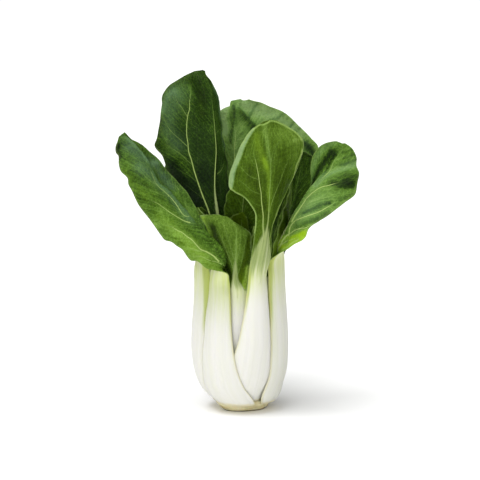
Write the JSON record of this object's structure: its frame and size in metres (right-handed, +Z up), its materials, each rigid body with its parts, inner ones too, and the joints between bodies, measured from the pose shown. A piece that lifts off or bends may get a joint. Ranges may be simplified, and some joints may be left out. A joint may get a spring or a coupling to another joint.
{
  "type": "bok choy",
  "caption": "Head of bok choy standing on its cut stem: thick white spoon-shaped stalks nested round a heart, each running up into a broad dark green leaf blade.",
  "frame": {"origin": "middle of the flat cut face under the stem, where the head stands on a surface", "axes": "+Z up along the head, from the cut stem to the leaf tips; -Y is the front, with the two white stalks that meet in a V; +X is the head's right as seen from the front"},
  "size_m": [0.1828, 0.1195, 0.2647],
  "materials": {
    "cut_stem": "matt, moist cut plant tissue, cream with tan scars",
    "leaf": "waxy satin leaf skin, white smooth stalk running into a dark green veined blade",
    "inner_leaf": "waxy satin leaf skin, paler and yellower green than the outer leaves"
  },
  "bodies": {
    "root": {"stem_base": "cut_stem", "leaf_front_left": "leaf", "leaf_right": "leaf", "leaf_left": "leaf", "leaf_back": "leaf", "leaf_front_right": "leaf", "leaf_back_left": "leaf", "leaf_back_right": "leaf", "leaf_front_small": "leaf", "inner_leaf_right": "inner_leaf", "inner_leaf_left": "inner_leaf", "inner_leaf_back": "inner_leaf", "heart_leaf_right": "inner_leaf", "heart_leaf_left": "inner_leaf", "heart_leaf_back": "inner_leaf", "heart_leaf_front": "inner_leaf"}
  },
  "joints": []
}
